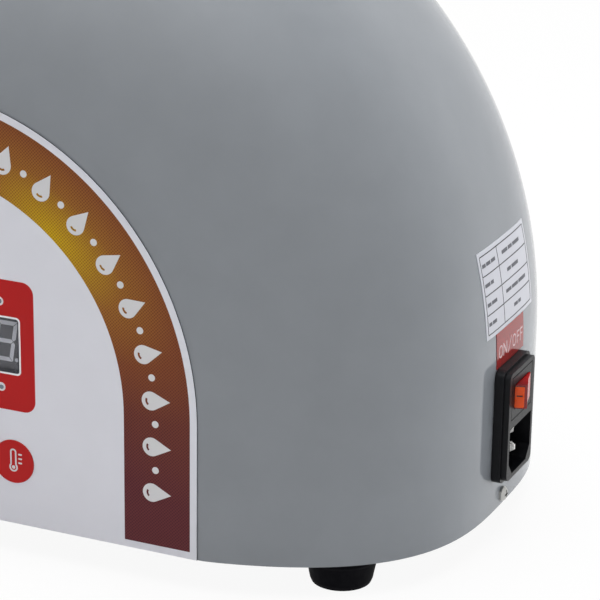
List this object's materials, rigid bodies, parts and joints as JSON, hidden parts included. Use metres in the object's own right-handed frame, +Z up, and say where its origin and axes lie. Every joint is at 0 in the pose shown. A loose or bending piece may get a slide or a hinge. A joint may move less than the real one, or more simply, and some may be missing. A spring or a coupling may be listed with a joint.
{
  "type": "electric oil press",
  "caption": "Counter-top screw oil press: arched grey housing with control panel and switched inlet, press head with hopper, heater, strainer and cups.",
  "frame": {"origin": "on the table, below the middle of the whole machine's box", "axes": "+X towards the mains inlet end, -Y is the control panel side, +Z up"},
  "size_m": [0.629, 0.224, 0.292],
  "materials": {
    "shell_paint": "satin grey enamel with a fine orange peel",
    "dark_paint": "semi-matt black enamel",
    "foot_rubber": "matt black rubber",
    "zinc_screw": "bright zinc plating",
    "overlay_film": "printed polyester film, satin",
    "lens_clear": "smoked clear acrylic",
    "display_block": "grey LED display block",
    "circuit_board": "green solder mask",
    "key_red": "red film over the key cap",
    "label_white": "printed white film",
    "strip_red": "printed red film",
    "inlet_black": "fine-grained black nylon",
    "rocker_red": "translucent red polycarbonate",
    "nickel_pin": "nickel-plated brass",
    "black_plastic": "black moulded plastic",
    "motor_steel": "dark painted steel can",
    "bearing_steel": "ground steel",
    "gear_steel": "cut and hardened steel",
    "cast_aluminium": "sand-blasted casting",
    "stainless": "brushed stainless steel",
    "stainless_polished": "polished stainless steel",
    "heater_ceramic": "metal-sheathed mica band",
    "pusher_nylon": "natural nylon"
  },
  "bodies": {
    "machine": {"housing_shell": "shell_paint", "base_pan": "dark_paint", "rubber_feet": "foot_rubber", "foot_screws": "zinc_screw", "shell_screws": "zinc_screw", "control_overlay": "overlay_film", "display_lens": "lens_clear", "display_module": "display_block", "control_board": "circuit_board", "board_standoffs": "zinc_screw", "indicator_leds": "lens_clear", "tact_switches": "black_plastic", "rating_plate": "label_white", "switch_strip": "strip_red", "inlet_body": "inlet_black", "inlet_pins": "nickel_pin", "fan_guard": "black_plastic", "fan_frame": "black_plastic", "fan_screws": "zinc_screw", "power_board": "circuit_board", "motor_stator": "motor_steel", "motor_bearings": "bearing_steel", "motor_bracket": "dark_paint", "gearcase_body": "cast_aluminium", "gearcase_cover": "cast_aluminium", "gearcase_bearings": "bearing_steel", "gearcase_screws": "zinc_screw", "gearcase_bracket": "dark_paint", "head_socket": "stainless", "head_collar": "cast_aluminium"},
    "press_drive": {"output_wheel": "gear_steel", "output_shaft": "gear_steel", "press_screw": "stainless"},
    "layshaft": {"layshaft": "gear_steel"},
    "motor_drive": {"motor_rotor": "gear_steel", "motor_pinion": "gear_steel"},
    "fan": {"fan_rotor": "black_plastic"},
    "rocker": {"rocker_switch": "rocker_red"},
    "key_left": {"key_left": "key_red"},
    "key_middle": {"key_middle": "key_red"},
    "key_right": {"key_right": "key_red"},
    "lock_knob": {"lock_knob": "black_plastic"},
    "barrel": {"press_barrel": "stainless", "heater_band": "heater_ceramic", "heater_guard": "stainless_polished", "heater_conduit": "stainless_polished", "oil_guide": "stainless_polished"},
    "cap": {"barrel_cap": "stainless"},
    "nozzle": {"cake_nozzle": "stainless"},
    "hopper": {"hopper": "stainless_polished"},
    "lid": {"hopper_lid": "stainless_polished"},
    "pusher": {"pusher": "pusher_nylon"},
    "oil_cup": {"oil_cup": "stainless_polished"},
    "strainer": {"strainer": "stainless_polished"},
    "residue_cup": {"residue_cup": "stainless_polished"}
  },
  "joints": [
    {"name": "press_spin", "type": "hinge", "parent": "machine", "child": "press_drive", "pos_m": [-0.11153, -0.00118, 0.15], "axis": [1, 0, 0], "continuous": true},
    {"name": "layshaft_spin", "type": "hinge", "parent": "machine", "child": "layshaft", "pos_m": [-0.04153, -0.00118, 0.0975], "axis": [1, 0, 0], "continuous": true},
    {"name": "motor_spin", "type": "hinge", "parent": "machine", "child": "motor_drive", "pos_m": [0.03847, -0.00118, 0.15], "axis": [1, 0, 0], "continuous": true},
    {"name": "fan_spin", "type": "hinge", "parent": "machine", "child": "fan", "pos_m": [0.14847, 0.09383, 0.108], "axis": [0, 1, 0], "continuous": true},
    {"name": "rocker_tilt", "type": "hinge", "parent": "machine", "child": "rocker", "pos_m": [0.30837, -0.00187, 0.06615], "axis": [0, 0, -1], "range_deg": [0, 30]},
    {"name": "key_left_press", "type": "slide", "parent": "machine", "child": "key_left", "axis": [0, 1, 0], "range_m": [0, 0.0006], "stiffness_N_per_m": 1500, "springref_m": -0.0002},
    {"name": "key_middle_press", "type": "slide", "parent": "machine", "child": "key_middle", "axis": [0, 1, 0], "range_m": [0, 0.0006], "stiffness_N_per_m": 1500, "springref_m": -0.0002},
    {"name": "key_right_press", "type": "slide", "parent": "machine", "child": "key_right", "axis": [0, 1, 0], "range_m": [0, 0.0006], "stiffness_N_per_m": 1500, "springref_m": -0.0002},
    {"name": "lock_knob_turn", "type": "hinge", "parent": "machine", "child": "lock_knob", "pos_m": [-0.13853, -0.05117, 0.15], "axis": [0, -1, 0], "range_deg": [0, 360]},
    {"name": "barrel_draw", "type": "slide", "parent": "machine", "child": "barrel", "axis": [-1, 0, 0], "range_m": [0, 0.03]},
    {"name": "cap_turn", "type": "hinge", "parent": "barrel", "child": "cap", "pos_m": [-0.25153, -0.00118, 0.15], "axis": [1, 0, 0], "range_deg": [0, 360]},
    {"name": "nozzle_turn", "type": "hinge", "parent": "cap", "child": "nozzle", "pos_m": [-0.26653, -0.00118, 0.15], "axis": [1, 0, 0], "range_deg": [-180, 180]},
    {"name": "hopper_lift", "type": "slide", "parent": "barrel", "child": "hopper", "axis": [0, 0, 1], "range_m": [0, 0.04]},
    {"name": "lid_lift", "type": "slide", "parent": "hopper", "child": "lid", "axis": [0, 0, 1], "range_m": [0, 0.04]},
    {"name": "pusher_lift", "type": "slide", "parent": "lid", "child": "pusher", "axis": [0, 0, 1], "range_m": [0, 0.06]},
    {"name": "oil_cup_out", "type": "slide", "parent": "machine", "child": "oil_cup", "axis": [0, -1, 0], "range_m": [0, 0.12]},
    {"name": "strainer_lift", "type": "slide", "parent": "oil_cup", "child": "strainer", "axis": [0, 0, 1], "range_m": [0, 0.008]},
    {"name": "residue_cup_out", "type": "slide", "parent": "machine", "child": "residue_cup", "axis": [0, -1, 0], "range_m": [0, 0.12]}
  ],
  "couplings": [
    {"joint": "layshaft_spin", "follows": "press_spin", "ratio": -4},
    {"joint": "motor_spin", "follows": "press_spin", "ratio": 16}
  ]
}
